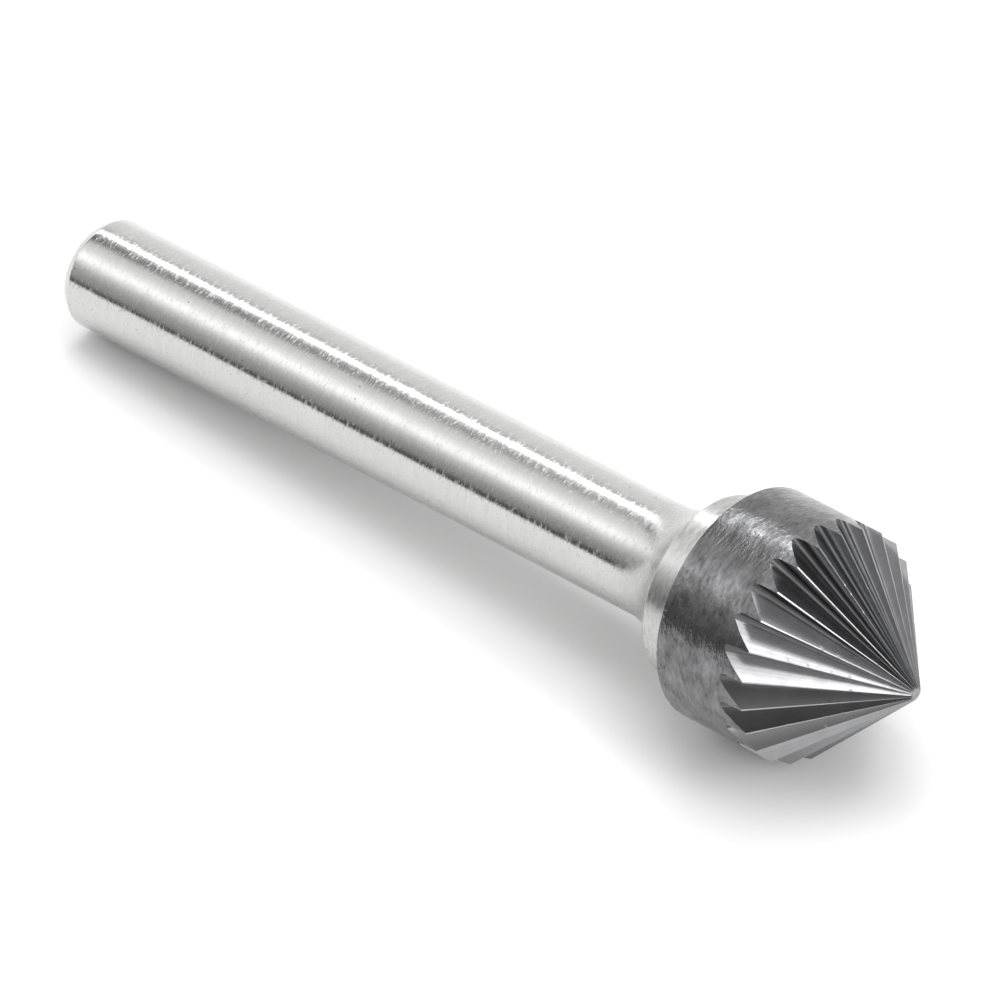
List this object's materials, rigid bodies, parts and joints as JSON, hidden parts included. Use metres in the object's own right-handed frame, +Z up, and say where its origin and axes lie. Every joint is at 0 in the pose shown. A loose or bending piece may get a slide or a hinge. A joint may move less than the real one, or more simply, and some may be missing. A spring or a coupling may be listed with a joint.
{
  "type": "carbide rotary burr",
  "caption": "Rotary burr: a dark carbide cone head with straight flutes, brazed to a ground steel shank with a collar.",
  "frame": {"origin": "centre of the shank's flat end face", "axes": "+X along the spin axis from the shank's end to the cone's tip, +Z up as the burr lies on a bench, +Y to the left of +X seen from above"},
  "size_m": [0.0562, 0.0124, 0.0124],
  "materials": {
    "ground_steel": "centreless ground, bright",
    "silver_braze": "dull silver braze alloy",
    "copper": "rolled copper foil",
    "tungsten_carbide": "ground cemented carbide, dark grey"
  },
  "bodies": {
    "root": {"shank": "ground_steel", "braze_rear": "silver_braze", "copper_foil": "copper", "braze_front": "silver_braze", "head": "tungsten_carbide"}
  },
  "joints": []
}
